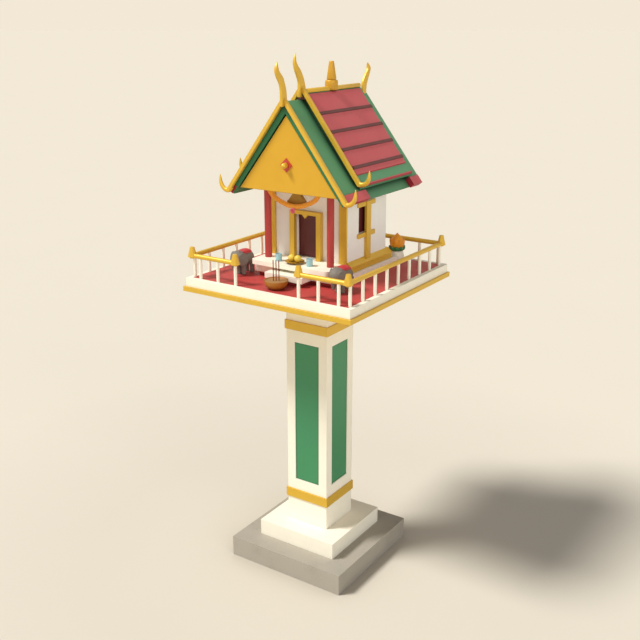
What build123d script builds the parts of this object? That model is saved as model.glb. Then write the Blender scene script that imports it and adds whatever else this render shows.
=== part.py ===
"""A roofed spirit house on a pillar, with its railed deck and the offerings set out on it.

Millimetres, +Z up. The origin is the centre of the foundation slab's underside, +X is the
house's right-hand side, and the front with the door faces -Y.
"""
from build123d import *
import math
import os

# ---- Foundation, pillar and deck -------------------------------------------------------
SLAB_HALF = 324.0
SLAB_TOP = 106.0
STEP_HALF = 220.0
STEP_TOP = 189.0
PILLAR_HALF = 117.0
PANEL_HALF_WIDTH = 70.0
PANEL_BOTTOM = 423.0
PANEL_TOP = 1160.0
PANEL_NICHE = 9.0        # depth of the niche that a panel lies in
PANEL_THICKNESS = 5.0
BAND_PROUD = 6.5         # how far a band stands out of the pillar's face
BAND_SPANS = ((317.0, 365.0), (1223.0, 1268.0))
TRIM_HALF = 460.0
TRIM_BOTTOM = 1439.0
TRIM_THICKNESS = 22.0
DECK_HALF = 450.0
DECK_THICKNESS = 40.5
FLOOR_HALF = 427.0
FLOOR_THICKNESS = 6.0

# ---- Railing ---------------------------------------------------------------------------
RAIL_LINE = 425.0        # distance of each railing from the pillar's axis
RAIL_HEIGHT = 104.5      # rail centre above the deck
RAIL_RADIUS = 11.0
BALUSTER_RADIUS = 7.5
BALUSTERS_PER_SIDE = 9
BALUSTERS_PER_FRONT = 3  # on each side of the gate
BALUSTER_PITCH = 102.5
GATE_HALF = 173.0
FINIAL_BASE_RADIUS = 22.0
FINIAL_TOP_RADIUS = 10.5
FINIAL_HEIGHT = 46.5
FINIAL_NECK_RADIUS = 12.5
FINIAL_CONE_DROP = 6.0   # how far the cone reaches below the rail's centre
FINIAL_NECK_DROP = 12.0  # how far the neck reaches below the rail's centre

# ---- Base of the house -----------------------------------------------------------------
BASE_HALF = 217.0
BASE_FRONT = -260.0
BASE_REAR = 255.0
PLINTH_HEIGHT = 19.5
PLINTH_INSET = 15.0
TIER_HEIGHT = 41.0
TIER_FRONT = -225.0
PORCH_THICKNESS = 22.0
STEP_HALF_WIDTH = 103.0
STEP_DEPTH = 76.0
STEP_THICKNESS = 27.0
LEDGE_WIDTH = 33.0        # the course on the deck beside and behind the tier
LEDGE_REAR = 300.0
LEDGE_FRONT = -104.0
PORCH_CORNER = 24.0       # rounding of the porch slab's two front corners
MOULDING_THICKNESS = 23.0
REAR_MOULDING_THICKNESS = 13.0
MOULDING_RISE = 10.0      # above the porch slab
MOULDING_DROP = 38.0      # below the porch slab's top
MOULDING_SHOULDER = 10.0  # below the porch slab's top, where the slope ends

# ---- Walls, door and windows -----------------------------------------------------------
HOUSE_HALF = 217.0
WALL_FRONT = -104.0
WALL_REAR = 242.0
WALL_THICKNESS = 20.0
CEILING_HEIGHT = 331.0   # above the porch slab
CEILING_THICKNESS = 12.0
CEILING_HALF = 257.0
POST_WIDTH = 39.0
POST_PROUD = 10.0
DOOR_HALF = 61.0
DOOR_HEIGHT = 209.0
FRAME_WIDTH = 24.0
FRAME_PROUD = 22.0
LINTEL_HEIGHT = 17.0
PENDANT_HALF = 16.0
PENDANT_DROP = 17.0
LEAF_THICKNESS = 8.0
LEAF_LAP = 8.0           # how far the leaf covers the wall beside and over the doorway
LEAF_GAP = 5.0
PIN_RADIUS = 3.0
PIN_CLEARANCE = 0.1
PIN_SHAKE = 0.5          # gap between a knuckle's end and the bracket next to it
PIN_OFFSET = 9.5         # from the pin's axis to the leaf's edge
KNUCKLE_WALL = 3.0
KNUCKLE_LENGTH = 26.0
BRACKET_WALL = 1.5       # of a bracket round its pin
BRACKET_LENGTH = 8.0
WINDOW_FRONT_HALF = 70.0   # from the pilaster's middle to the opening's front side
WINDOW_REAR_HALF = 17.5    # the opening's rear side is hidden behind the pilaster
WINDOW_BOTTOM = 125.0      # above the porch slab
WINDOW_HEIGHT = 124.0
WINDOW_BAR_HEIGHT = 20.0
WINDOW_BAR_REACH = (85.0, 65.0)  # from the pilaster's middle to the front and the rear
WINDOW_BAR_PROUD = 8.0
WINDOW_PANEL_THICKNESS = 6.0
PILASTER_WIDTH = 37.0
PILASTER_PROUD = 13.0
CREST_HALF = 50.0         # the gold crest hung from the porch ceiling over the door
CREST_SHOULDER_HALF = 46.0
CREST_TOP_HALF = 8.0
CREST_Y = -192.0          # its front face
CREST_THICKNESS = 18.0
CREST_HEIGHT = 65.0
CREST_FASCIA = 16.0
COLUMN_RADIUS = 16.5
COLUMN_X = 173.0
COLUMN_Y = -175.0

# ---- Roofs -----------------------------------------------------------------------------
ROOF_SLOPE = 1.28         # rise over run of every roof surface
BARGE_SLOPE = 1.325       # the barge boards stand a little steeper
# An "apex" is the height at which a sloping surface would meet the middle plane.
LOWER_APEX = 2311.0       # top of the thick parts of the lower roof
SHEET_APEX = 2272.0       # top of the thin sheet that runs its whole length
UNDERSIDE_APEX = 2259.0
SHEET_EAVE = 300.0
LOWER_EAVE = 325.0
LOWER_FRONT = -269.0
LOWER_REAR = 398.0
THICK_FRONT_END = -86.0   # the thick parts stop here, under the upper roof
THICK_REAR_START = 315.0
EAVE_BLOCK_RUN = 27.0     # width of a red eave block, seen from above
EAVE_BLOCK_RISE = 5.0     # measured straight up
UPPER_APEX = 2345.0
UPPER_EAVE = 299.0
UPPER_FRONT = -136.0
UPPER_REAR = 334.0
UPPER_CORE_EAVE = 262.0    # the lip beyond it hangs free over the lower roof
UPPER_LIP_DROP = 22.0      # thickness of the lip, measured straight down
FASCIA_RUN = 3.0
FASCIA_DROP = 9.0
GABLE_FRONT = -263.0
GABLE_THICKNESS = 20.0
REAR_GABLE_INSET = 12.0   # from the lower roof's rear edge to the rear gable board
TILE_FIELD_RISE = 5.0
TILE_FIELD_TOP = 14.0     # x where a tile field starts below the ridge
TILE_FIELD_BOTTOM = 272.5
TILE_FIELD_FRONT = -120.0
TILE_FIELD_REAR = 319.0
BARGE_DEPTH = 18.0
BARGE_WIDTH = 30.0        # measured straight down
BARGE_MITRE_GAP = 0.4
LOWER_BARGE_APEX = 2335.0
UPPER_BARGE_APEX = 2377.0
UPPER_BARGE_EAVE = 312.0
RIDGE_BAR_Z = 2340.0
RIDGE_BAR_RADIUS = 9.0
SPIRE_Y = 94.0
SPIRE_DRUM_RADIUS = 30.0
SPIRE_DRUM_HEIGHT = 40.0
SPIRE_CONE_RADII = (22.5, 11.0)
SPIRE_CONE_HEIGHT = 84.0
CHOFA_THICKNESS = 14.0
GEM_HALF = 31.0
GEM_THICKNESS = 5.0
GEM_HEIGHT = 2037.0

# ---- Garland and offerings -------------------------------------------------------------
GARLAND_RADIUS = 11.0
GARLAND_Y = -212.0
ELEPHANT_X = 275.0
ELEPHANT_Y = -228.0      # middle of the body
ELEPHANT_BODY_LENGTH = 24.0  # between the centres of its round ends
ELEPHANT_BODY_RADIUS = 37.0
ELEPHANT_BODY_Z = 76.5   # middle of the body above the deck
ELEPHANT_LEG_X = 15.0
ELEPHANT_LEG_Y = 22.0
ELEPHANT_LEG_RADIUS = 8.5
ELEPHANT_HEAD_REACH = 38.0   # from the body's front end centre
ELEPHANT_HEAD_RISE = 6.0
ELEPHANT_HEAD_RADIUS = 37.0
ELEPHANT_TRUNK_RADIUS = 7.0
ELEPHANT_TRUNK_Z = 30.0  # the trunk's tip above the deck
CLOTH_THICKNESS = 4.0
CLOTH_EDGE_Z = 96.0      # the cloth's lower edge above the deck
CLOTH_OVERLAP = 14.0     # how far the cloth reaches past the body's rear end centre
BOWL_X = 6.0
BOWL_Y = -360.0
BOWL_HEIGHT = 40.0
BOWL_RIM_RADIUS = 58.0
BOWL_FOOT_RADIUS = 32.0
BOWL_WALL = 4.0
ASH_DEPTH_BELOW_RIM = 3.5
STICK_RADIUS = 2.2
STICK_SPACING = (10.3, 7.1)  # along X and Y; the row stands askew
STICK_TOP = 131.0        # above the deck
DISH_Y = -208.0
DISH_RADIUS = 45.0
DISH_FOOT_RADIUS = 24.0
DISH_HEIGHT = 11.0
DISH_HOLLOW = 4.0        # depth of the dish's hollow
DISH_WALL = 3.0
FRUIT_RADIUS = 16.5
FRUIT_X = 17.0
CUP_X = 86.0
CUP_Y = -213.0
CUP_RADIUS = 15.0
CUP_HEIGHT = 34.0
CUP_WALL = 2.5
CUP_HOLLOW = 3.0         # from the brim down to what fills a cup
VASE_X = 227.0
VASE_Y = 342.0
VASE_RADIUS = 36.0
VASE_FOOT_RADIUS = 24.0
VASE_HEIGHT = 61.0
FLOWER_RADIUS = 40.0
FLOWER_TOP = 150.0       # above the deck

# ---- Levels worked out from the sizes above --------------------------------------------
TRIM_TOP = TRIM_BOTTOM + TRIM_THICKNESS
DECK_TOP = TRIM_TOP + DECK_THICKNESS
RAIL_Z = DECK_TOP + RAIL_HEIGHT
PLINTH_TOP = DECK_TOP + PLINTH_HEIGHT
TIER_TOP = PLINTH_TOP + TIER_HEIGHT
PORCH_TOP = TIER_TOP + PORCH_THICKNESS
CEILING_BOTTOM = PORCH_TOP + CEILING_HEIGHT
CEILING_TOP = CEILING_BOTTOM + CEILING_THICKNESS
DOOR_TOP = PORCH_TOP + DOOR_HEIGHT
SILL_Z = PORCH_TOP + WINDOW_BOTTOM
HEAD_Z = SILL_Z + WINDOW_HEIGHT
WINDOW_Y = (WALL_FRONT + WALL_REAR) / 2 - 6.0
WALL_INNER = WALL_FRONT + WALL_THICKNESS
REAR_GABLE_FRONT = LOWER_REAR - REAR_GABLE_INSET - GABLE_THICKNESS


# ---- Helpers ---------------------------------------------------------------------------
def block(x0, x1, y0, y1, z0, z1):
    """A box between two corners."""
    return Pos((x0 + x1) / 2, (y0 + y1) / 2, (z0 + z1) / 2) * Box(x1 - x0, y1 - y0, z1 - z0)


def prism(points, sweep):
    """The flat polygon through 3-D points, pushed along a vector."""
    return Solid.extrude(Face(Wire.make_polygon([Vector(*p) for p in points])), Vector(*sweep))


def rod(start, end, radius):
    """A round bar from one point to another."""
    axis = Vector(*end) - Vector(*start)
    return Solid.make_cylinder(radius, axis.length, Plane(origin=start, z_dir=axis))


def turned(profile, x, y):
    """A turned piece: (radius, height) points spun about a vertical line through x, y."""
    outline = Polyline(*[(r, 0, z) for r, z in profile], close=True)
    return Pos(x, y, 0) * revolve(make_face(outline), Axis.Z, 360)


def mirrored(shape):
    """The shape and its mirror image across X = 0."""
    return [shape, mirror(shape, about=Plane.YZ)]


def save(name, *shapes):
    """Write the solids of the shapes to one STEP file."""
    solids = [solid for shape in shapes for solid in shape.solids()]
    export_step(Compound(solids) if len(solids) > 1 else solids[0], f"parts/{name}.step")


def roof_z(apex, x):
    """Height of a roof's outer surface at a distance x from the ridge."""
    return apex - ROOF_SLOPE * abs(x)


# ---- Foundation, pillar and deck -------------------------------------------------------
def make_pillar():
    """Grey slab and step, the white pillar with its niches, green panels and gold bands."""
    save("foundation_slab", block(-SLAB_HALF, SLAB_HALF, -SLAB_HALF, SLAB_HALF, 0, SLAB_TOP))
    save("plinth_step", block(-STEP_HALF, STEP_HALF, -STEP_HALF, STEP_HALF, SLAB_TOP, STEP_TOP))

    pillar = block(-PILLAR_HALF, PILLAR_HALF, -PILLAR_HALF, PILLAR_HALF, STEP_TOP, TRIM_BOTTOM)
    panels = []
    for turn in range(4):
        spin = Rot(0, 0, 90 * turn)
        inner = PILLAR_HALF - PANEL_NICHE
        width = PANEL_HALF_WIDTH
        pillar -= spin * block(inner, PILLAR_HALF, -width, width, PANEL_BOTTOM, PANEL_TOP)
        face = inner + PANEL_THICKNESS
        panels.append(spin * block(inner, face, -width, width, PANEL_BOTTOM, PANEL_TOP))
    save("pillar", pillar)
    save("green_panels", *panels)

    bands = []
    half = PILLAR_HALF + BAND_PROUD
    for low, high in BAND_SPANS:
        ring = block(-half, half, -half, half, low, high)
        bands.append(ring - block(-PILLAR_HALF, PILLAR_HALF, -PILLAR_HALF, PILLAR_HALF, low, high))
    save("pillar_bands", *bands)


def make_deck():
    """Gold trim plate, white deck slab and the red floor let into it."""
    save("deck_trim", block(-TRIM_HALF, TRIM_HALF, -TRIM_HALF, TRIM_HALF, TRIM_BOTTOM, TRIM_TOP))
    slab = block(-DECK_HALF, DECK_HALF, -DECK_HALF, DECK_HALF, TRIM_TOP, DECK_TOP)
    low = DECK_TOP - FLOOR_THICKNESS
    floor = block(-FLOOR_HALF, FLOOR_HALF, -FLOOR_HALF, FLOOR_HALF, low, DECK_TOP)
    save("deck_slab", slab - floor)
    save("deck_floor", floor)


# ---- Railing ---------------------------------------------------------------------------
def finial(x, y):
    """Eight-sided post cap: a neck that the rails butt against, under a cut-off cone."""
    neck_low = RAIL_Z - FINIAL_NECK_DROP
    cone_low = RAIL_Z - FINIAL_CONE_DROP
    neck = extrude(Pos(x, y, neck_low) * RegularPolygon(FINIAL_NECK_RADIUS, 8), cone_low - neck_low)
    foot = Pos(x, y, cone_low) * RegularPolygon(FINIAL_BASE_RADIUS, 8)
    top = Pos(x, y, cone_low + FINIAL_HEIGHT) * RegularPolygon(FINIAL_TOP_RADIUS, 8)
    return neck + loft([foot, top])


def make_railing():
    """Round gold handrails on white balusters, open at the gate in the middle of the front."""
    line = RAIL_LINE
    corners = [(-line, -line), (line, -line), (line, line), (-line, line)]
    gate = [(-GATE_HALF, -line), (GATE_HALF, -line)]
    caps = [finial(x, y) for x, y in corners + gate]
    save("rail_finials", *caps)

    runs = {
        "front_left": (corners[0], gate[0]),
        "front_right": (gate[1], corners[1]),
        "right": (corners[1], corners[2]),
        "rear": (corners[2], corners[3]),
        "left": (corners[3], corners[0]),
    }
    rails = []
    for start, end in runs.values():
        rail = rod((*start, RAIL_Z), (*end, RAIL_Z), RAIL_RADIUS)
        for piece in caps + rails:
            rail -= piece
        rails.append(rail)
    save("handrails", *rails)

    side = [(i - (BALUSTERS_PER_SIDE - 1) / 2) * BALUSTER_PITCH for i in range(BALUSTERS_PER_SIDE)]
    front = [GATE_HALF + i * BALUSTER_PITCH for i in range(BALUSTERS_PER_FRONT)]
    places = {
        "front_left": [(-x, -line) for x in front],
        "front_right": [(x, -line) for x in front],
        "right": [(line, y) for y in side],
        "rear": [(x, line) for x in side],
        "left": [(-line, y) for y in side],
    }
    for name, points in places.items():
        balusters = []
        for x, y in points:
            baluster = rod((x, y, DECK_TOP), (x, y, RAIL_Z), BALUSTER_RADIUS)
            for piece in rails + caps:
                baluster -= piece
            balusters.append(baluster)
        save(f"balusters_{name}", *balusters)


# ---- Base of the house -----------------------------------------------------------------
def make_base():
    """Red recessed plinth, white tier, porch slab and entrance step, gold side mouldings."""
    step_front = TIER_FRONT - STEP_DEPTH
    inset = PLINTH_INSET
    half = BASE_HALF - inset
    plinth = block(-half, half, TIER_FRONT + inset, BASE_REAR - inset, DECK_TOP, PLINTH_TOP)
    half = STEP_HALF_WIDTH - inset
    plinth += block(-half, half, step_front + inset, TIER_FRONT + inset, DECK_TOP, PLINTH_TOP)
    save("red_plinth", plinth)
    low = PORCH_TOP - MOULDING_DROP
    edge = BASE_HALF + LEDGE_WIDTH
    tier = block(-BASE_HALF, BASE_HALF, TIER_FRONT, BASE_REAR, PLINTH_TOP, TIER_TOP)
    for x0, x1 in ((-edge, -BASE_HALF), (BASE_HALF, edge)):
        tier += block(x0, x1, LEDGE_FRONT, LEDGE_REAR, DECK_TOP, low)
    tier += block(-BASE_HALF, BASE_HALF, BASE_REAR, LEDGE_REAR, DECK_TOP, low)
    save("base_tier", tier)
    porch = block(-BASE_HALF, BASE_HALF, BASE_FRONT, BASE_REAR, TIER_TOP, PORCH_TOP)
    corners = porch.edges().filter_by(Axis.Z).group_by(Axis.Y)[0]
    save("porch_slab", fillet(corners, PORCH_CORNER))
    step_top = PLINTH_TOP + STEP_THICKNESS
    half = STEP_HALF_WIDTH
    save("entrance_step", block(-half, half, step_front, TIER_FRONT, PLINTH_TOP, step_top))

    high = PORCH_TOP + MOULDING_RISE
    shoulder = PORCH_TOP - MOULDING_SHOULDER
    outer = BASE_HALF + MOULDING_THICKNESS
    rear = BASE_REAR + REAR_MOULDING_THICKNESS
    profile = [(BASE_HALF, low), (outer, low), (outer, shoulder), (BASE_HALF, high)]
    side = prism([(x, WALL_FRONT, z) for x, z in profile], (0, rear - WALL_FRONT, 0))
    back = block(-BASE_HALF, BASE_HALF, BASE_REAR, rear, low, high)
    back += block(-HOUSE_HALF, HOUSE_HALF, WALL_REAR, BASE_REAR, PORCH_TOP, high)
    save("side_mouldings", *mirrored(side))
    save("rear_moulding", back)


# ---- Walls -----------------------------------------------------------------------------
def make_walls():
    """Plain walls round the doorway and at the back, two pierced side walls and the ceiling."""
    inner = HOUSE_HALF - WALL_THICKNESS
    low, high = PORCH_TOP, CEILING_BOTTOM
    front = block(DOOR_HALF, inner, WALL_FRONT, WALL_INNER, low, high)
    save("front_wall_sides", *mirrored(front))
    over = block(-DOOR_HALF, DOOR_HALF, WALL_FRONT, WALL_INNER, DOOR_TOP, high)
    save("front_wall_over_door", over)
    save("rear_wall", block(-inner, inner, WALL_REAR - WALL_THICKNESS, WALL_REAR, low, high))
    wall = block(inner, HOUSE_HALF, WALL_FRONT, WALL_REAR, low, high)
    y0, y1 = WINDOW_Y - WINDOW_FRONT_HALF, WINDOW_Y + WINDOW_REAR_HALF
    wall -= block(inner, HOUSE_HALF, y0, y1, SILL_Z, HEAD_Z)
    save("side_walls", *mirrored(wall))
    panel = block(inner, inner + WINDOW_PANEL_THICKNESS, y0, y1, SILL_Z, HEAD_Z)
    save("window_panels", *mirrored(panel))

    bar_out = HOUSE_HALF + WINDOW_BAR_PROUD
    sill_low = SILL_Z - WINDOW_BAR_HEIGHT
    head_high = HEAD_Z + WINDOW_BAR_HEIGHT
    y0, y1 = WINDOW_Y - WINDOW_BAR_REACH[0], WINDOW_Y + WINDOW_BAR_REACH[1]
    frame = block(HOUSE_HALF, bar_out, y0, y1, sill_low, SILL_Z)
    frame += block(HOUSE_HALF, bar_out, y0, y1, HEAD_Z, head_high)
    pilaster_out = HOUSE_HALF + PILASTER_PROUD
    y0, y1 = WINDOW_Y - PILASTER_WIDTH / 2, WINDOW_Y + PILASTER_WIDTH / 2
    # the pilaster's foot is cut to the slope of the moulding that it stands on
    foot = PORCH_TOP + MOULDING_RISE
    fall = (MOULDING_RISE + MOULDING_SHOULDER) / MOULDING_THICKNESS * PILASTER_PROUD
    profile = [(HOUSE_HALF, foot), (pilaster_out, foot - fall), (pilaster_out, head_high),
               (HOUSE_HALF, head_high)]
    frame += prism([(x, y0, z) for x, z in profile], (0, y1 - y0, 0))
    save("window_frames", *mirrored(frame))

    ceiling_front = GABLE_FRONT + GABLE_THICKNESS
    half = CEILING_HALF
    save("ceiling", block(-half, half, ceiling_front, REAR_GABLE_FRONT, CEILING_BOTTOM, CEILING_TOP))


def make_front_trim():
    """Gold corner posts, door frame with its pendant, porch crest and the porch columns."""
    post = block(
        HOUSE_HALF - POST_WIDTH, HOUSE_HALF,
        WALL_FRONT - POST_PROUD, WALL_FRONT,
        PORCH_TOP, CEILING_BOTTOM,
    )
    save("corner_posts", *mirrored(post))

    front = WALL_FRONT - FRAME_PROUD
    outer = DOOR_HALF + FRAME_WIDTH
    frame_top = DOOR_TOP + LINTEL_HEIGHT
    frame = block(-outer, outer, front, WALL_FRONT, PORCH_TOP, frame_top)
    frame -= block(-DOOR_HALF, DOOR_HALF, front, WALL_FRONT, PORCH_TOP, DOOR_TOP)
    triangle = [
        (-PENDANT_HALF, front, DOOR_TOP),
        (PENDANT_HALF, front, DOOR_TOP),
        (0, front, DOOR_TOP - PENDANT_DROP),
    ]
    frame += prism(triangle, (0, FRAME_PROUD / 2, 0))
    save("door_frame", frame)

    low = CEILING_BOTTOM - CREST_HEIGHT
    shoulder = low + CREST_FASCIA
    half = [(CREST_HALF, low), (CREST_HALF, shoulder), (CREST_SHOULDER_HALF, shoulder),
            (CREST_TOP_HALF, CEILING_BOTTOM)]
    outline = half + [(-x, z) for x, z in reversed(half)]
    save("porch_crest", prism([(x, CREST_Y, z) for x, z in outline], (0, CREST_THICKNESS, 0)))

    column = rod((COLUMN_X, COLUMN_Y, PORCH_TOP), (COLUMN_X, COLUMN_Y, CEILING_BOTTOM), COLUMN_RADIUS)
    save("porch_columns", *mirrored(column))


def make_door():
    """One maroon leaf behind the wall, on two pins held by brackets on the wall's inner face."""
    leaf_front = WALL_INNER + LEAF_GAP
    leaf_back = leaf_front + LEAF_THICKNESS
    half = DOOR_HALF + LEAF_LAP
    leaf = block(-half, half, leaf_front, leaf_back, PORCH_TOP + LEAF_GAP, DOOR_TOP + LEAF_LAP)
    knuckle_radius = PIN_RADIUS + PIN_CLEARANCE + KNUCKLE_WALL
    pin_x = -half - PIN_OFFSET
    pin_y = leaf_front + knuckle_radius
    heights = (PORCH_TOP + DOOR_HEIGHT * 0.2, PORCH_TOP + DOOR_HEIGHT * 0.8)
    hinges = []
    for z in heights:
        leaf += block(pin_x, -half, leaf_front, leaf_back, z, z + KNUCKLE_LENGTH)
        leaf += rod((pin_x, pin_y, z), (pin_x, pin_y, z + KNUCKLE_LENGTH), knuckle_radius)
    for z in heights:
        bore = PIN_RADIUS + PIN_CLEARANCE
        leaf -= rod((pin_x, pin_y, z), (pin_x, pin_y, z + KNUCKLE_LENGTH), bore)
        pin_low = z - PIN_SHAKE - BRACKET_LENGTH
        pin_high = z + KNUCKLE_LENGTH + PIN_SHAKE + BRACKET_LENGTH
        hinge = rod((pin_x, pin_y, pin_low), (pin_x, pin_y, pin_high), PIN_RADIUS)
        reach = PIN_RADIUS + BRACKET_WALL
        for ear in (pin_low, pin_high - BRACKET_LENGTH):
            x0, x1 = pin_x - reach, pin_x + reach
            hinge += block(x0, x1, WALL_INNER, pin_y + reach, ear, ear + BRACKET_LENGTH)
        hinges.append(hinge)
    save("door_leaf", leaf)
    save("door_hinges", *hinges)
    print("door axis", pin_x, pin_y, PORCH_TOP)


# ---- Roofs -----------------------------------------------------------------------------
def slope_piece(apex, x0, x1, drop, y0, y1):
    """A slab that follows the right-hand slope from x0 to x1, cut plumb at both edges."""
    z0, z1 = roof_z(apex, x0), roof_z(apex, x1)
    outline = [(x0, y0, z0), (x1, y0, z1), (x1, y0, z1 - drop), (x0, y0, z0 - drop)]
    return prism(outline, (0, y1 - y0, 0))


def square_slab(top, bottom, x0, x1, y0, y1, square_start=False):
    """A slab between two parallel right-hand slopes, its eave end cut square to the slope."""
    shift = (top - bottom) * ROOF_SLOPE / (1 + ROOF_SLOPE**2)
    start = x0 - shift if square_start else x0
    outline = [
        (x0, y0, roof_z(top, x0)), (x1, y0, roof_z(top, x1)),
        (x1 - shift, y0, roof_z(bottom, x1 - shift)), (start, y0, roof_z(bottom, start)),
    ]
    return prism(outline, (0, y1 - y0, 0))


def lower_slope():
    """The right half of the lower roof: a thin sheet, thick at its open front and rear."""
    block_apex = LOWER_APEX + EAVE_BLOCK_RISE
    eave = LOWER_EAVE - EAVE_BLOCK_RUN
    eave -= EAVE_BLOCK_RISE * ROOF_SLOPE / (1 + ROOF_SLOPE**2)
    slope = square_slab(SHEET_APEX, UNDERSIDE_APEX, 0, SHEET_EAVE, LOWER_FRONT, LOWER_REAR)
    blocks = []
    for y0, y1 in ((LOWER_FRONT, THICK_FRONT_END), (THICK_REAR_START, LOWER_REAR)):
        slope += square_slab(LOWER_APEX, SHEET_APEX, 0, eave, y0, y1)
        x0 = LOWER_EAVE - EAVE_BLOCK_RUN
        blocks.append(square_slab(block_apex, SHEET_APEX, x0, LOWER_EAVE, y0, y1, True))
    return slope, blocks


def upper_slope():
    """The right half of the upper roof: a slab and core on the lower one, and a free lip."""
    drop = UPPER_APEX - LOWER_APEX
    slab = slope_piece(UPPER_APEX, 0, UPPER_CORE_EAVE, drop, UPPER_FRONT, UPPER_REAR)
    lip = (UPPER_APEX, UPPER_CORE_EAVE, UPPER_EAVE, UPPER_LIP_DROP, UPPER_FRONT, UPPER_REAR)
    drop = LOWER_APEX - SHEET_APEX
    core = (LOWER_APEX, 0, UPPER_CORE_EAVE, drop, THICK_FRONT_END, THICK_REAR_START)
    return slab + slope_piece(*lip) + slope_piece(*core)


def make_roofs():
    """Two nested gable roofs, red eave strips and tile fields, gable boards and ridge bar."""
    lower, blocks = lower_slope()
    right, left = mirrored(lower)
    save("lower_roof_right", right)
    save("lower_roof_left", left)
    upper = upper_slope()
    right, left = mirrored(upper)
    save("upper_roof_right", right)
    save("upper_roof_left", left)

    fascia_end = UPPER_EAVE + FASCIA_RUN
    fascia = slope_piece(UPPER_APEX, UPPER_EAVE, fascia_end, FASCIA_DROP, UPPER_FRONT, UPPER_REAR)
    strips = [piece for strip in blocks + [fascia] for piece in mirrored(strip)]
    save("eave_strips", *strips)

    field_apex = UPPER_APEX + TILE_FIELD_RISE
    field = slope_piece(
        field_apex, TILE_FIELD_TOP, TILE_FIELD_BOTTOM,
        TILE_FIELD_RISE, TILE_FIELD_FRONT, TILE_FIELD_REAR,
    )
    save("tile_fields", *mirrored(field))

    half = (UNDERSIDE_APEX - CEILING_BOTTOM) / ROOF_SLOPE
    outline = [(-half, GABLE_FRONT, CEILING_BOTTOM), (half, GABLE_FRONT, CEILING_BOTTOM)]
    outline.append((0, GABLE_FRONT, UNDERSIDE_APEX))
    front = prism(outline, (0, GABLE_THICKNESS, 0))
    save("gable_boards", front, Pos(0, REAR_GABLE_FRONT - GABLE_FRONT, 0) * front)

    y = GABLE_FRONT
    half = GEM_HALF
    outline = [(0, y, GEM_HEIGHT - half), (half, y, GEM_HEIGHT)]
    outline += [(0, y, GEM_HEIGHT + half), (-half, y, GEM_HEIGHT)]
    save("gable_gem", prism(outline, (0, -GEM_THICKNESS, 0)))

    bar = rod((0, UPPER_FRONT, RIDGE_BAR_Z), (0, UPPER_REAR, RIDGE_BAR_Z), RIDGE_BAR_RADIUS)
    low, high = RIDGE_BAR_Z, RIDGE_BAR_Z + SPIRE_DRUM_HEIGHT
    spire = turned(
        [(0, low), (SPIRE_DRUM_RADIUS, low), (SPIRE_DRUM_RADIUS, high), (SPIRE_CONE_RADII[0], high),
         (SPIRE_CONE_RADII[1], high + SPIRE_CONE_HEIGHT), (0, high + SPIRE_CONE_HEIGHT)],
        0, SPIRE_Y,
    )
    ridge = bar + spire
    for piece in mirrored(upper) + mirrored(field):
        ridge -= piece
    save("ridge_bar", ridge)
    return ridge


def barge(apex, eave, y1):
    """The right-hand barge board of a gable, ending in an upturned hook past the eave."""
    y0 = y1 - BARGE_DEPTH
    foot = apex - BARGE_SLOPE * eave
    z_gap = apex - BARGE_SLOPE * BARGE_MITRE_GAP
    board = [
        (BARGE_MITRE_GAP, y0, z_gap), (eave, y0, foot),
        (eave, y0, foot - BARGE_WIDTH), (BARGE_MITRE_GAP, y0, z_gap - BARGE_WIDTH),
    ]
    low, tip = foot - BARGE_WIDTH, (eave + 38.0, y0, foot + 66.0)
    outer = ThreePointArc((eave - 24.0, y0, low + 22.0), (eave + 24.0, y0, low + 22.0), tip)
    inner = ThreePointArc(tip, (eave + 13.0, y0, foot + 18.0), (eave - 24.0, y0, foot + 30.0))
    close = Line((eave - 24.0, y0, foot + 30.0), (eave - 24.0, y0, low + 22.0))
    hook = Solid.extrude(Face(Wire([outer, inner, close])), Vector(0, BARGE_DEPTH, 0))
    return prism(board, (0, BARGE_DEPTH, 0)) + hook


def chofa(y_base, apex, forward):
    """A bird-headed roof finial rising from a gable's peak; forward is -1 or 1 along Y."""
    x = -CHOFA_THICKNESS / 2

    def at(out, up):
        return Vector(x, y_base + forward * out, apex + up)

    breast = Spline(*[at(*p) for p in [(15, -10), (16, 20), (19, 50), (38, 104), (61, 140)]])
    beak = Polyline(at(61, 140), at(53, 151), at(40, 174))
    nape = Spline(*[at(*p) for p in [(40, 174), (27, 136), (3, 92), (-11, 44), (-16, 6), (-16, -10)]])
    sole = Line(at(-16, -10), at(15, -10))
    outline = Face(Wire([*breast.edges(), *beak.edges(), *nape.edges(), *sole.edges()]))
    return Solid.extrude(outline, Vector(CHOFA_THICKNESS, 0, 0))


def make_roof_ornament(ridge):
    """Gold barge boards with hooks on both front gables, and a finial on each peak."""
    boards = mirrored(barge(LOWER_BARGE_APEX, LOWER_EAVE, LOWER_FRONT))
    boards += mirrored(barge(UPPER_BARGE_APEX, UPPER_BARGE_EAVE, UPPER_FRONT))
    peaks = [
        chofa(LOWER_FRONT - 12.0, LOWER_APEX - 13.0, -1),
        chofa(UPPER_FRONT - 8.0, UPPER_APEX - 9.0, -1),
        chofa(LOWER_REAR - 18.0, LOWER_APEX - 35.0, 1),
    ]
    others = boards + [ridge] + mirrored(lower_slope()[0]) + mirrored(upper_slope())
    cut = []
    for peak in peaks:
        for piece in others:
            peak -= piece
        cut.append(max(peak.solids(), key=lambda solid: solid.volume))
    save("barge_boards", *boards)
    save("roof_finials", *cut)


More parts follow.
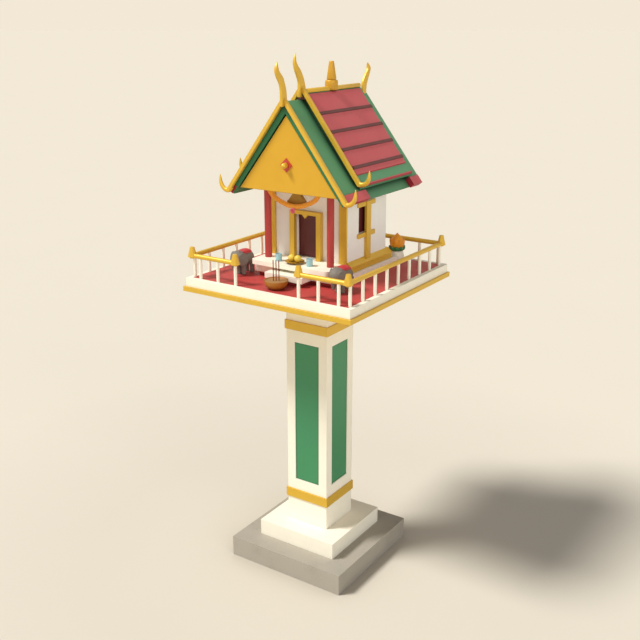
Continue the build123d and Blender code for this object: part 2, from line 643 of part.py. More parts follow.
# ---- Garland and offerings -------------------------------------------------------------
def make_garland():
    """The flower garland hung from the porch ceiling in front of the two columns."""
    y = GARLAND_Y
    sag = [(-138, 0), (-122, 26), (-97, 42), (-63, 57), (-22, 68), (22, 68), (63, 57), (97, 42),
           (122, 26), (138, 0)]
    route = [Vector(x, y, CEILING_BOTTOM - drop) for x, drop in sag]
    radii = []
    for before, here, after in zip(route, route[1:], route[2:]):
        turn = (here - before).get_angle(after - here)
        shorter = min((here - before).length, (after - here).length)
        radii.append(0.45 * shorter / math.tan(math.radians(turn / 2)))
    path = FilletPolyline(*route, radius=radii)
    start = Plane(origin=route[0], z_dir=route[1] - route[0])
    tube = sweep(start * Circle(GARLAND_RADIUS), path=path)
    print("garland radii", [round(r) for r in radii], "length", round(path.length, 1))
    print("garland volume share", round(tube.volume / (math.pi * GARLAND_RADIUS**2 * path.length), 4))
    # the two ends are trimmed flush with the ceiling that they hang from
    above = block(-BASE_HALF, BASE_HALF, y - 30, y + 30, CEILING_BOTTOM, CEILING_BOTTOM + 30)
    save("garland", tube - above)


def capsule(x, z, y0, y1, radius):
    """A round-ended bar along Y, between the centres of its two ends."""
    bar = rod((x, y0, z), (x, y1, z), radius)
    return bar + Pos(x, y0, z) * Sphere(radius) + Pos(x, y1, z) * Sphere(radius)


def make_elephants():
    """Two small elephants facing the front, each with a cloth over its back."""
    x, z = ELEPHANT_X, DECK_TOP + ELEPHANT_BODY_Z
    y0, y1 = ELEPHANT_Y - ELEPHANT_BODY_LENGTH / 2, ELEPHANT_Y + ELEPHANT_BODY_LENGTH / 2
    body = capsule(x, z, y0, y1, ELEPHANT_BODY_RADIUS)
    for dx in (-ELEPHANT_LEG_X, ELEPHANT_LEG_X):
        for dy in (-ELEPHANT_LEG_Y, ELEPHANT_LEG_Y):
            leg_x, leg_y = x + dx, ELEPHANT_Y + dy
            body += rod((leg_x, leg_y, DECK_TOP), (leg_x, leg_y, z), ELEPHANT_LEG_RADIUS)
    head_y = y0 - ELEPHANT_HEAD_REACH
    head_z = z + ELEPHANT_HEAD_RISE
    body += Pos(x, head_y, head_z) * Sphere(ELEPHANT_HEAD_RADIUS)
    trunk_y = head_y - ELEPHANT_HEAD_RADIUS + ELEPHANT_TRUNK_RADIUS / 2
    body += rod((x, trunk_y, head_z), (x, trunk_y, DECK_TOP + ELEPHANT_TRUNK_Z), ELEPHANT_TRUNK_RADIUS)
    save("elephants", *mirrored(body))

    cloth = capsule(x, z, y0, y1, ELEPHANT_BODY_RADIUS + CLOTH_THICKNESS)
    half = ELEPHANT_BODY_RADIUS
    top = z + 2 * half
    cloth &= block(x - half, x + half, y0, y1 + CLOTH_OVERLAP, DECK_TOP + CLOTH_EDGE_Z, top)
    save("elephant_saddles", *mirrored(cloth - body))


def make_offerings():
    """Incense bowl with ash and sticks, fruit dish, cups, and two vases of flowers."""
    base, rim = DECK_TOP, DECK_TOP + BOWL_HEIGHT
    wall = BOWL_WALL
    bowl = turned(
        [(0, base), (BOWL_FOOT_RADIUS, base), (BOWL_RIM_RADIUS, rim), (BOWL_RIM_RADIUS - wall, rim),
         (BOWL_FOOT_RADIUS - wall, base + wall), (0, base + wall)],
        BOWL_X, BOWL_Y,
    )
    save("incense_bowl", bowl)
    ash_top = rim - ASH_DEPTH_BELOW_RIM
    share = (ash_top - base - wall) / (BOWL_HEIGHT - wall)
    ash_radius = BOWL_FOOT_RADIUS - wall + share * (BOWL_RIM_RADIUS - BOWL_FOOT_RADIUS)
    ash = turned(
        [(0, base + wall), (BOWL_FOOT_RADIUS - wall, base + wall), (ash_radius, ash_top), (0, ash_top)],
        BOWL_X, BOWL_Y,
    )
    sticks = []
    for i in (-1, 0, 1):
        x, y = BOWL_X + i * STICK_SPACING[0], BOWL_Y + i * STICK_SPACING[1]
        sticks.append(rod((x, y, ash_top - 15), (x, y, DECK_TOP + STICK_TOP), STICK_RADIUS))
    for stick in sticks:
        ash -= stick
    save("incense_ash", ash)
    save("incense_sticks", *sticks)

    base, rim = PORCH_TOP, PORCH_TOP + DISH_HEIGHT
    dish = turned(
        [(0, base), (DISH_FOOT_RADIUS, base), (DISH_RADIUS, rim), (DISH_RADIUS - DISH_WALL, rim),
         (DISH_FOOT_RADIUS, rim - DISH_HOLLOW), (0, rim - DISH_HOLLOW)],
        0, DISH_Y,
    )
    save("offering_dish", dish)
    fruit = Pos(FRUIT_X, DISH_Y, rim - DISH_HOLLOW + FRUIT_RADIUS) * Sphere(FRUIT_RADIUS)
    save("offering_fruits", *mirrored(fruit))

    cup = turned(
        [(0, base), (CUP_RADIUS, base), (CUP_RADIUS, base + CUP_HEIGHT),
         (CUP_RADIUS - CUP_WALL, base + CUP_HEIGHT),
         (CUP_RADIUS - CUP_WALL, base + CUP_HEIGHT - CUP_HOLLOW), (0, base + CUP_HEIGHT - CUP_HOLLOW)],
        CUP_X, CUP_Y,
    )
    save("offering_cups", *mirrored(cup))

    base, rim = DECK_TOP, DECK_TOP + VASE_HEIGHT
    vase = turned(
        [(0, base), (VASE_FOOT_RADIUS, base), (VASE_RADIUS, base + VASE_HEIGHT * 0.45),
         (VASE_RADIUS * 0.94, base + VASE_HEIGHT * 0.7), (VASE_RADIUS * 0.8, rim), (0, rim)],
        VASE_X, VASE_Y,
    )
    save("flower_vases", *mirrored(vase))
    flowers = turned(
        [(0, rim), (VASE_RADIUS * 0.8, rim), (FLOWER_RADIUS, rim + 14), (VASE_RADIUS * 0.7, rim + 26),
         (FLOWER_RADIUS, rim + 62), (0, DECK_TOP + FLOWER_TOP)],
        VASE_X, VASE_Y,
    )
    save("vase_flowers", *mirrored(flowers))


os.makedirs("parts", exist_ok=True)
make_pillar()
make_deck()
make_railing()
make_base()
make_walls()
make_front_trim()
make_door()
make_roof_ornament(make_roofs())
make_garland()
make_elephants()
make_offerings()
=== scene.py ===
import math

import bmesh
import bpy
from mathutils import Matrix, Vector


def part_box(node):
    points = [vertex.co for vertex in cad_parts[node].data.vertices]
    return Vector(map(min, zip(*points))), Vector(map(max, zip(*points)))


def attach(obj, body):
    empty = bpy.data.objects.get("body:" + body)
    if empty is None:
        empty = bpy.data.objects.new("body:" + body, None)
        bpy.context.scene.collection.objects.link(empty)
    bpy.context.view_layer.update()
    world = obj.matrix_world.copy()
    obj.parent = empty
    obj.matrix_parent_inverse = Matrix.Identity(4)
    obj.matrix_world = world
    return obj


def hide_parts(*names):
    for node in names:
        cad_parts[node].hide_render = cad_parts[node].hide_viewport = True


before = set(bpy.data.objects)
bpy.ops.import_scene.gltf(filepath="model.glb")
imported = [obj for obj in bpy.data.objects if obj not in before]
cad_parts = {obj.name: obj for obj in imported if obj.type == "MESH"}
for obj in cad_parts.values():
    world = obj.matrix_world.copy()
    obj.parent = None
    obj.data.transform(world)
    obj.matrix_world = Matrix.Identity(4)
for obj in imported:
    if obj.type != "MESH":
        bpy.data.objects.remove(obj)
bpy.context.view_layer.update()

# ---- Camera ----------------------------------------------------------------------------
# A longish lens, set a little higher than the roof's horns and to the right of the front,
# looks down on the railed deck.
tilt, pan = 18.33, 33.769  # degrees below level, and round to the right of the front
camera = bpy.data.objects.new("camera", bpy.data.cameras.new("camera"))
bpy.context.collection.objects.link(camera)
camera.data.sensor_width = 36.0
camera.data.lens = 51.387
camera.data.clip_end = 200.0
camera.location = (2.34524, -3.50766, 2.65074)
camera.rotation_euler = (math.radians(90.0 - tilt), 0.0, math.radians(pan))
bpy.context.scene.camera = camera
bpy.context.scene.view_settings.view_transform = "Standard"

# ---- Garland ---------------------------------------------------------------------------
# Marigold heads threaded tight on a limp cotton string, hung from the porch ceiling in
# front of the two columns by its ends, with one pink bloom tied on at the lowest part.


def linear(hex_colour):
    """An sRGB hex colour as linear RGBA."""
    values = [int(hex_colour[i:i + 2], 16) / 255 for i in (0, 2, 4)]
    values = [v / 12.92 if v <= 0.04045 else ((v + 0.055) / 1.055) ** 2.4 for v in values]
    return (*values, 1.0)


def add(material, kind, inputs=None, **settings):
    """Adds a node; inputs gives each socket a value, or the output that feeds it."""
    tree = material.node_tree
    made = tree.nodes.new(kind)
    for name, value in settings.items():
        setattr(made, name, value)
    for name, value in (inputs or {}).items():
        if isinstance(value, bpy.types.NodeSocket):
            tree.links.new(value, made.inputs[name])
        else:
            made.inputs[name].default_value = value
    return made


def blank(name):
    """A new material with no nodes in it yet."""
    material = bpy.data.materials.new(name)
    material.use_nodes = True
    material.node_tree.nodes.clear()
    return material


def petal_finish(name, tip, root, patch_mm, rough):
    """Fresh petals: matt and soft, in patches of the tips' and the roots' colours, with a
    faint down and fine ridges."""
    material = blank(name)
    place = add(material, "ShaderNodeTexCoord")
    patches = add(material, "ShaderNodeTexNoise",
                  {"Vector": place.outputs["Object"], "Scale": 1000 / patch_mm, "Detail": 4.0})
    tone = add(material, "ShaderNodeValToRGB", {"Fac": patches.outputs["Fac"]})
    for stop, at, colour in zip(tone.color_ramp.elements, (0.34, 0.66), (root, tip)):
        stop.position, stop.color = at, linear(colour)
    ridges = add(material, "ShaderNodeTexNoise",  # petal edges about 1.5 mm apart
                 {"Vector": place.outputs["Object"], "Scale": 650.0, "Detail": 3.0})
    relief = add(material, "ShaderNodeBump",
                 {"Height": ridges.outputs["Fac"], "Distance": 0.0006, "Strength": 0.5})
    surface = add(material, "ShaderNodeBsdfPrincipled", {
        "Base Color": tone.outputs["Color"], "Roughness": rough, "Sheen Weight": 0.12,
        "Normal": relief.outputs["Normal"]})
    add(material, "ShaderNodeOutputMaterial", {"Surface": surface.outputs["BSDF"]})
    return material


def shown(mesh_maker, name, material, smooth=True):
    """Turns a finished bmesh into an object in one material."""
    mesh = bpy.data.meshes.new(name)
    bmesh.ops.recalc_face_normals(mesh_maker, faces=mesh_maker.faces)
    mesh_maker.to_mesh(mesh)
    mesh_maker.free()
    mesh.materials.append(material)
    for face in mesh.polygons:
        face.use_smooth = smooth
    made = bpy.data.objects.new(name, mesh)
    bpy.context.collection.objects.link(made)
    return made


def net(maker, rows):
    """Fills in the quads between each row of corners and the next."""
    for a, b in zip(rows, rows[1:]):
        for k in range(len(a) - 1):
            maker.faces.new((a[k], a[k + 1], b[k + 1], b[k]))


def tube(maker, rings):
    """Joins rings of corners into a tube and closes its ends."""
    net(maker, [ring + ring[:1] for ring in rings])
    maker.faces.new(rings[0])
    maker.faces.new(rings[-1])


def skin(maker, centres, halves, side, count):
    """Skins a run of points that lies in one plane, with count corners round it. halves gives
    each ring's half-widths, along side, which is square to that plane, and across it."""
    rings = []
    for i, centre in enumerate(centres):
        ahead = centres[min(i + 1, len(centres) - 1)] - centres[max(i - 1, 0)]
        across = side.cross(ahead.normalized())
        wide, deep = halves[i]
        ring = []
        for k in range(count):
            turn = 2 * math.pi * k / count
            out = side * math.cos(turn) * wide + across * math.sin(turn) * deep
            ring.append(maker.verts.new(centre + out))
        rings.append(ring)
    tube(maker, rings)
    return rings


garland_route = [
    (-0.138, -0.212, 1.915), (-0.122, -0.212, 1.889), (-0.097, -0.212, 1.873),
    (-0.063, -0.212, 1.858), (-0.022, -0.212, 1.847), (0.022, -0.212, 1.847),
    (0.063, -0.212, 1.858), (0.097, -0.212, 1.873), (0.122, -0.212, 1.889),
    (0.138, -0.212, 1.915),
]
garland_line = bpy.data.curves.new("garland_line", "CURVE")
garland_line.dimensions = "3D"
garland_line.resolution_u = 26
run = garland_line.splines.new("NURBS")
run.points.add(len(garland_route) - 1)
for point, where in zip(run.points, garland_route):
    point.co = (*where, 1.0)
run.order_u = 3
run.use_endpoint_u = True
line_object = bpy.data.objects.new("garland_line", garland_line)
bpy.context.collection.objects.link(line_object)
bpy.context.view_layer.update()
line_mesh = bpy.data.meshes.new_from_object(line_object)
garland_points = [vertex.co.copy() for vertex in line_mesh.vertices]
bpy.data.objects.remove(line_object)
bpy.data.meshes.remove(line_mesh)
bpy.data.curves.remove(garland_line)

garland_radius = 0.011
head_pitch = 0.0131  # from one flower head to the next
facets = 56  # corners round the string of heads
petal_tips = 14  # round one head
ceiling_under = 1.9149  # just below the porch ceiling
maker = bmesh.new()
strung = [0.0]
for before, here in zip(garland_points, garland_points[1:]):
    strung.append(strung[-1] + (here - before).length)
halves = []
for along in strung:
    swell = abs(math.sin(math.pi * along / head_pitch)) ** 0.6
    halves.append((garland_radius * (0.93 + 0.07 * swell),) * 2)
rings = skin(maker, garland_points, halves, Vector((0, 1, 0)), facets)
for i, ring in enumerate(rings):
    head = int(strung[i] / head_pitch)
    for k, vertex in enumerate(ring):
        # the petal tips are notched, and turned a little from those of the head before
        fringe = 0.5 + 0.5 * math.cos(petal_tips * (2 * math.pi * k / facets) + 1.9 * head)
        vertex.co += (garland_points[i] - vertex.co) * 0.045 * (1 - fringe)
        vertex.co.z = min(vertex.co.z, ceiling_under)
marigold = petal_finish("marigold_petals", "F9A426", "EA931A", 7.0, 0.62)
garland = shown(maker, "garland_heads", marigold)
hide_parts("garland")
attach(garland, "house")

# the pink bloom: three rings of cupped petals round a small bud, facing forward


def petal(maker, place, facing, turn, length, width, lift, cup):
    """One cupped petal growing from place, leaning away from the flower's axis by lift."""
    helper = Vector((0, 0, 1)) if abs(facing.z) < 0.9 else Vector((1, 0, 0))
    u = facing.cross(helper).normalized()
    v = facing.cross(u)
    out = u * math.cos(turn) + v * math.sin(turn)
    across = facing.cross(out)
    rows = []
    for i in range(9):
        t = i / 8
        lean = lift * t
        spine = place + (out * math.sin(lean) + facing * math.cos(lean)) * length * t
        half = width * math.sin(math.pi * min(0.98, 0.12 + 0.88 * t)) ** 0.7
        row = []
        for k in range(7):
            s = (k - 3) / 3
            row.append(maker.verts.new(spine + across * s * half - out * cup * s * s * half))
        rows.append(row)
    net(maker, rows)


maker = bmesh.new()
bloom_at = Vector((0.0050, -0.2235, 1.8300))
forward = Vector((0, -1, 0))
for count, length, width, lift in ((8, 0.0150, 0.0062, 1.40), (7, 0.0130, 0.0056, 0.95),
                                   (5, 0.0105, 0.0044, 0.45)):
    for k in range(count):
        petal(maker, bloom_at, forward, 2 * math.pi * k / count + count, length, width, lift, 0.5)
for vertex in bmesh.ops.create_uvsphere(
        maker, u_segments=16, v_segments=10, radius=0.0042)["verts"]:
    vertex.co += bloom_at + forward * 0.002
bloom = shown(maker, "garland_bloom", petal_finish("pink_petals", "DE5A78", "C43F5C", 4.0, 0.5))
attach(bloom, "house")

# ---- Ground and light ------------------------------------------------------------------
# A plain floor in matt cream paint, with painted shade near the house and against the slab,
# that runs out to a backdrop of the same colour, one soft sun high at the front left, a
# broad fill low on the right, and an even pale surround.
floor_paint = blank("studio_floor")
place = add(floor_paint, "ShaderNodeTexCoord")
mottle = add(floor_paint, "ShaderNodeTexNoise",  # faint patches, nearly a metre across
             {"Vector": place.outputs["Object"], "Scale": 1.2, "Detail": 2.0})
tone = add(floor_paint, "ShaderNodeMix", {
    0: mottle.outputs["Fac"], 6: linear("EDE3CF"), 7: linear("EFE5D1")}, data_type="RGBA")
away = add(floor_paint, "ShaderNodeVectorMath", {0: place.outputs["Object"]}, operation="LENGTH")
falloff_shade = add(floor_paint, "ShaderNodeMapRange", {  # painted shade: darker near the house, even from 2.6 m out
    "Value": away.outputs["Value"], "From Min": 1.2, "From Max": 2.6, "To Min": 0.92,
    "To Max": 1.0})
corner = add(floor_paint, "ShaderNodeAmbientOcclusion", {"Distance": 0.45}, samples=8)
contact_shade = add(floor_paint, "ShaderNodeMapRange", {  # painted shade against the foot of the slab
    "Value": corner.outputs["AO"], "From Min": 0.5, "From Max": 0.97, "To Min": 0.72,
    "To Max": 1.0})
contact_shade = add(floor_paint, "ShaderNodeMath",
            {0: contact_shade.outputs["Result"], 1: falloff_shade.outputs["Result"]}, operation="MULTIPLY")
tone = add(floor_paint, "ShaderNodeVectorMath",
           {0: tone.outputs[2], "Scale": contact_shade.outputs[0]}, operation="SCALE")
surface = add(floor_paint, "ShaderNodeBsdfDiffuse", {"Color": tone.outputs[0]})
add(floor_paint, "ShaderNodeOutputMaterial", {"Surface": surface.outputs["BSDF"]})
maker = bmesh.new()
bmesh.ops.create_grid(maker, x_segments=2, y_segments=2, size=300.0)
ground = shown(maker, "studio_ground", floor_paint, smooth=False)

surround = bpy.data.worlds.new("surround")
bpy.context.scene.world = surround
surround.use_nodes = True
surround.node_tree.nodes.clear()
# what is seen of the surround, directly or in metal or glass, is brighter than the light
# it gives
ray = add(surround, "ShaderNodeLightPath")
seen = add(surround, "ShaderNodeMath",
           {0: ray.outputs["Is Camera Ray"], 1: ray.outputs["Is Glossy Ray"]}, operation="MAXIMUM")
seen = add(surround, "ShaderNodeMath",
           {0: seen.outputs[0], 1: ray.outputs["Is Transmission Ray"]}, operation="MAXIMUM")
ambient = add(surround, "ShaderNodeBackground", {"Color": linear("F8F9FF"), "Strength": 0.21})
backdrop = add(surround, "ShaderNodeBackground", {"Color": linear("F3E8D6"), "Strength": 1.0})
either = add(surround, "ShaderNodeMixShader", {
    0: seen.outputs[0], 1: ambient.outputs[0], 2: backdrop.outputs[0]})
add(surround, "ShaderNodeOutputWorld", {"Surface": either.outputs[0]})


def sun(name, towards, power, spread, colour):
    """A distant lamp in the direction towards, spread degrees across."""
    lamp = bpy.data.objects.new(name, bpy.data.lights.new(name, "SUN"))
    bpy.context.collection.objects.link(lamp)
    lamp.data.energy = power
    lamp.data.angle = math.radians(spread)
    lamp.data.color = linear(colour)[:3]
    lamp.rotation_euler = Vector(towards).to_track_quat("Z", "Y").to_euler()


sun("key", (-0.437, -0.421, 0.795), 3.0, 14.0, "FFFFFF")
sun("fill", (0.80, -0.52, 0.16), 1.45, 60.0, "F6F8FF")

# ---- Foundation slab -------------------------------------------------------------------
# Bare grey concrete, cast in a wooden mould and floated by hand: dull, with pale and dark
# specks of sand and a few small air holes.
concrete = blank("cast_concrete")
place = add(concrete, "ShaderNodeTexCoord")
cloud = add(concrete, "ShaderNodeTexNoise",  # damp and dry patches, about 110 mm across
            {"Vector": place.outputs["Object"], "Scale": 9.0, "Detail": 6.0})
sand = add(concrete, "ShaderNodeTexNoise",  # sand drawn at 5 mm, coarser than it is
           {"Vector": place.outputs["Object"], "Scale": 200.0, "Detail": 3.0})
holes = add(concrete, "ShaderNodeTexVoronoi",  # air holes about 26 mm apart
            {"Vector": place.outputs["Object"], "Scale": 38.0})
hole = add(concrete, "ShaderNodeMapRange", {
    "Value": holes.outputs["Distance"], "From Min": 0.05, "From Max": 0.12})
blend = add(concrete, "ShaderNodeMath",
            {0: cloud.outputs["Fac"], 1: sand.outputs["Fac"]}, operation="ADD")
tone = add(concrete, "ShaderNodeValToRGB", {"Fac": blend.outputs[0]})
for stop, at, colour in zip(tone.color_ramp.elements, (0.70, 1.0), ("A29A8B", "AFA797")):
    stop.position, stop.color = at, linear(colour)
height = add(concrete, "ShaderNodeMath",
             {0: sand.outputs["Fac"], 1: hole.outputs["Result"]}, operation="MULTIPLY")
relief = add(concrete, "ShaderNodeBump",
             {"Height": height.outputs[0], "Distance": 0.0012, "Strength": 0.35})
surface = add(concrete, "ShaderNodeBsdfPrincipled", {
    "Base Color": tone.outputs["Color"], "Roughness": 0.88, "Normal": relief.outputs["Normal"]})
add(concrete, "ShaderNodeOutputMaterial", {"Surface": surface.outputs["BSDF"]})


def wear(material, *nodes):
    """Gives CAD nodes a material in every slot."""
    for name in nodes:
        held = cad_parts[name].data.materials
        for i in range(len(held)):
            held[i] = material


wear(concrete, "foundation_slab")

# ---- Step, pillar and deck -------------------------------------------------------------
# Cement castings rendered smooth and painted white with masonry paint: nearly flat, a faint
# brush and trowel texture, softened edges, and a little painted shade in the corners.


def masonry_paint(name, colour, rough, metal=0.0, patch=0.02, grain=0.12, coat=0.0,
                  edge=0.0025, shade_depth=0.35, reach=0.045, unshaded_from=0.75, under=None):
    """Paint on smooth cement render: even colour with faint patches where the coats
    overlap, the trowel's slight unevenness under it, softened edges, and painted shade in
    the corners. shade_depth is the share of the light that the painted shade takes in the
    deepest of them, reach how far it spreads, and unshaded_from how open a place has to be
    to have none. under is the deeper colour painted on upright and downward faces as shade."""
    material = blank(name)
    place = add(material, "ShaderNodeTexCoord")
    coats = add(material, "ShaderNodeTexNoise",  # overlaps of the brush, about 60 mm apart
                {"Vector": place.outputs["Object"], "Scale": 16.0, "Detail": 5.0})
    tone = add(material, "ShaderNodeMapRange", {
        "Value": coats.outputs["Fac"], "From Min": 0.25, "From Max": 0.75,
        "To Min": 1.0 - patch, "To Max": 1.0 + patch})
    # painted shade: darker in corners and recesses, the more the surfaces round them close in
    corners = add(material, "ShaderNodeAmbientOcclusion", {"Distance": reach}, samples=8)
    corner_shade = add(material, "ShaderNodeMapRange", {
        "Value": corners.outputs["AO"], "From Min": 0.15, "From Max": unshaded_from,
        "To Min": 1.0 - shade_depth, "To Max": 1.0})
    # painted shade: upright and downward faces take the deeper colour under, upward faces the
    # paint's own
    facing = add(material, "ShaderNodeSeparateXYZ", {
        0: add(material, "ShaderNodeNewGeometry").outputs["Normal"]})
    facing_light = add(material, "ShaderNodeMapRange", {
        "Value": facing.outputs["Z"], "From Min": 0.15, "From Max": 0.4})
    facing_colour = add(material, "ShaderNodeMix", {
        0: facing_light.outputs["Result"], 6: linear(under or colour), 7: linear(colour)},
        data_type="RGBA")
    shade = add(material, "ShaderNodeMath",
                {0: tone.outputs["Result"], 1: corner_shade.outputs["Result"]}, operation="MULTIPLY")
    paint = add(material, "ShaderNodeVectorMath", {
        0: facing_colour.outputs[2], "Scale": shade.outputs[0]}, operation="SCALE")
    trowelled = add(material, "ShaderNodeTexNoise",  # sand drawn at 4 mm, coarser than it is
                    {"Vector": place.outputs["Object"], "Scale": 260.0, "Detail": 4.0})
    eased = add(material, "ShaderNodeBevel", {"Radius": edge}, samples=4)
    relief = add(material, "ShaderNodeBump", {
        "Height": trowelled.outputs["Fac"], "Distance": 0.0006, "Strength": grain,
        "Normal": eased.outputs["Normal"]})
    dull = add(material, "ShaderNodeMapRange", {
        "Value": coats.outputs["Fac"], "From Min": 0.3, "From Max": 0.7,
        "To Min": rough - 0.04, "To Max": rough + 0.06})
    surface = add(material, "ShaderNodeBsdfPrincipled", {
        "Base Color": paint.outputs[0], "Roughness": dull.outputs["Result"],
        "Metallic": metal, "Coat Weight": coat, "Coat Roughness": 0.2,
        "Normal": relief.outputs["Normal"]})
    add(material, "ShaderNodeOutputMaterial", {"Surface": surface.outputs["BSDF"]})
    return material


white_paint = masonry_paint("white_masonry_paint", "FFF8E2", 0.6, shade_depth=0.2)
wear(white_paint, "plinth_step", "pillar", "deck_slab", "base_tier", "porch_slab", "entrance_step",
     "flower_vases", "balusters_front_left", "balusters_front_right", "balusters_right",
     "balusters_rear", "balusters_left")

# ---- Green panels ----------------------------------------------------------------------
# Thin boards set in niches in the pillar's four sides, painted in green house paint: an
# even mid green, with painted shade darkening it along the niches' edges.
panel_paint = masonry_paint("green_gloss_paint", "3F8D5C", 0.42, shade_depth=1.0, reach=0.012,
                            unshaded_from=1.0)
wear(panel_paint, "green_panels")

# ---- Gold trim --------------------------------------------------------------------------
# Bands, deck trim, rails, mouldings, posts and frames of cement, all in gold enamel with a
# little metal flake: bright yellow, with a soft streak of light along every round edge, and
# painted shade in the corners.
gold_paint = masonry_paint("gold_enamel", "E2B63C", 0.40, metal=0.3, grain=0.05, edge=0.0015,
                           shade_depth=0.4)
wear(gold_paint, "pillar_bands", "deck_trim", "handrails", "rail_finials", "side_mouldings",
     "rear_moulding", "window_frames", "corner_posts", "door_frame")

# ---- Porch crest ------------------------------------------------------------------------
# A small pointed crest of cement over the door, hung from the porch ceiling, in the gold
# darkened to a dull brown as painted shade, with hardly any flake in it.
crest_shade_gold = masonry_paint("crest_shade_gold_paint", "A97C22", 0.5, metal=0.15, patch=0.05)
wear(crest_shade_gold, "porch_crest")

# ---- Deck floor ------------------------------------------------------------------------
# A sheet of cement screed let into the deck's top and painted with red floor paint, which
# looks dry and a little uneven where it has been walked on.
floor_red = masonry_paint("red_floor_paint", "BF423E", 0.55, patch=0.05)
wear(floor_red, "deck_floor")

# ---- Red plinth and porch columns ------------------------------------------------------
# The plinth under the house and the two round columns, cast in cement and painted red in
# oil paint, with a satin gleam down the round of each column.
column_red = masonry_paint("red_satin_paint", "B73A33", 0.45)
wear(column_red, "red_plinth", "porch_columns")

# ---- Walls and ceiling -----------------------------------------------------------------
# Thin cement panels rendered inside and out and painted with off-white distemper: quite
# matt, with painted shade greying the corners, most under the eaves.
wall_paint = masonry_paint("wall_distemper", "FCF9EE", 0.7)
wear(wall_paint, "front_wall_sides", "front_wall_over_door", "rear_wall", "side_walls", "ceiling")

# ---- Door and window panels ------------------------------------------------------------
# A plain hardwood leaf and window boards, brushed with dark maroon wood stain: the grain
# runs upright and shows through as fine dark lines.
maroon = blank("maroon_stained_wood")
place = add(maroon, "ShaderNodeTexCoord")
upright = add(maroon, "ShaderNodeMapping", {  # lines 4.5 mm apart, coarser than real grain
    "Vector": place.outputs["Object"], "Scale": (220.0, 220.0, 9.0)})
fibres = add(maroon, "ShaderNodeTexNoise",
             {"Vector": upright.outputs["Vector"], "Scale": 1.0, "Detail": 4.0})
tone = add(maroon, "ShaderNodeValToRGB", {"Fac": fibres.outputs["Fac"]})
for stop, at, colour in zip(tone.color_ramp.elements, (0.35, 0.68), ("58191B", "5E2324")):
    stop.position, stop.color = at, linear(colour)
relief = add(maroon, "ShaderNodeBump",
             {"Height": fibres.outputs["Fac"], "Distance": 0.0004, "Strength": 0.4})
surface = add(maroon, "ShaderNodeBsdfPrincipled", {
    "Base Color": tone.outputs["Color"], "Roughness": 0.42, "Normal": relief.outputs["Normal"]})
add(maroon, "ShaderNodeOutputMaterial", {"Surface": surface.outputs["BSDF"]})
wear(maroon, "door_leaf", "window_panels")

# ---- Hinges ----------------------------------------------------------------------------
# Two turned steel pins in brackets, screwed to the wall's inner face and zinc plated: a
# dull grey metal, in small spangles that catch the light unevenly.
zinc = blank("zinc_plated_steel")
place = add(zinc, "ShaderNodeTexCoord")
spangle = add(zinc, "ShaderNodeTexVoronoi",  # about 4 mm across
              {"Vector": place.outputs["Object"], "Scale": 260.0})
tone = add(zinc, "ShaderNodeMapRange", {
    "Value": spangle.outputs["Distance"], "To Min": 0.34, "To Max": 0.5})
relief = add(zinc, "ShaderNodeBump",
             {"Height": spangle.outputs["Distance"], "Distance": 0.0002, "Strength": 0.2})
surface = add(zinc, "ShaderNodeBsdfPrincipled", {
    "Base Color": linear("A6A49E"), "Metallic": 1.0, "Roughness": tone.outputs["Result"],
    "Normal": relief.outputs["Normal"]})
add(zinc, "ShaderNodeOutputMaterial", {"Surface": surface.outputs["BSDF"]})
wear(zinc, "door_hinges")

# ---- Roof slopes -----------------------------------------------------------------------
# Cement slabs cast flat and painted green, the upper pair lying on the lower pair. Painted
# shade gives the upright edges and undersides a deeper green, and darkens the steps and the
# strip under the upper eaves.
roof_green = masonry_paint("green_roof_paint", "5D9C6D", 0.5, shade_depth=0.9, reach=0.22,
                           unshaded_from=0.9, under="2C7A4A")
wear(roof_green, "lower_roof_right", "lower_roof_left", "upper_roof_right", "upper_roof_left")

# ---- Tile fields and eave blocks -------------------------------------------------------
# Red panels on the upper slopes, each divided by four dark ribs that stand for the edges
# of tile courses; the blocks and strips at the eaves match them. Painted shade makes the red
# deeper on upright and downward faces and in the corners, and the ribs' flat dark brown is
# painted shade along each course's edge.
roof_red = masonry_paint("red_roof_paint", "D25C60", 0.5, shade_depth=0.6, under="A82432")
wear(roof_red, "tile_fields", "eave_strips")
# painted shade: the ribs' dark brown stands for the shade along each tile course's edge
course_shade_paint = masonry_paint("rib_shade_paint", "663634", 0.55)


def board(maker, outline, front, back):
    """A flat board across the house: its (x, z) corners, and where its two faces lie."""
    tube(maker, [[maker.verts.new((x, y, z)) for x, z in outline] for y in (front, back)])


def ease(maker, radius, segments=2):
    """Rounds every edge off, as sanding and paint do."""
    bmesh.ops.bevel(maker, geom=list(maker.edges), offset=radius, segments=segments,
                    affect="EDGES")


low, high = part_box("tile_fields")
slope = 1.28  # fall of the roof for each metre out
peak = 2.350  # where the two fields' faces would meet
slope_run = Vector((1.0, 0.0, -slope)).normalized()
slope_up = Vector((slope, 0.0, 1.0)).normalized()
maker = bmesh.new()
for hand in (-1, 1):
    for x in (0.0775, 0.1375, 0.1945, 0.2515):
        middle = Vector((x, 0.0, peak - slope * x))
        section = [middle + slope_run * s + slope_up * h for s, h in (
            (-0.0088, -0.002), (-0.007, 0.004), (0.007, 0.004), (0.0088, -0.002))]
        board(maker, [(hand * spot.x, spot.z) for spot in section], low.y, high.y + 0.006)
ease(maker, 0.0008)
ribs = shown(maker, "tile_ribs", course_shade_paint, smooth=False)
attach(ribs, "house")

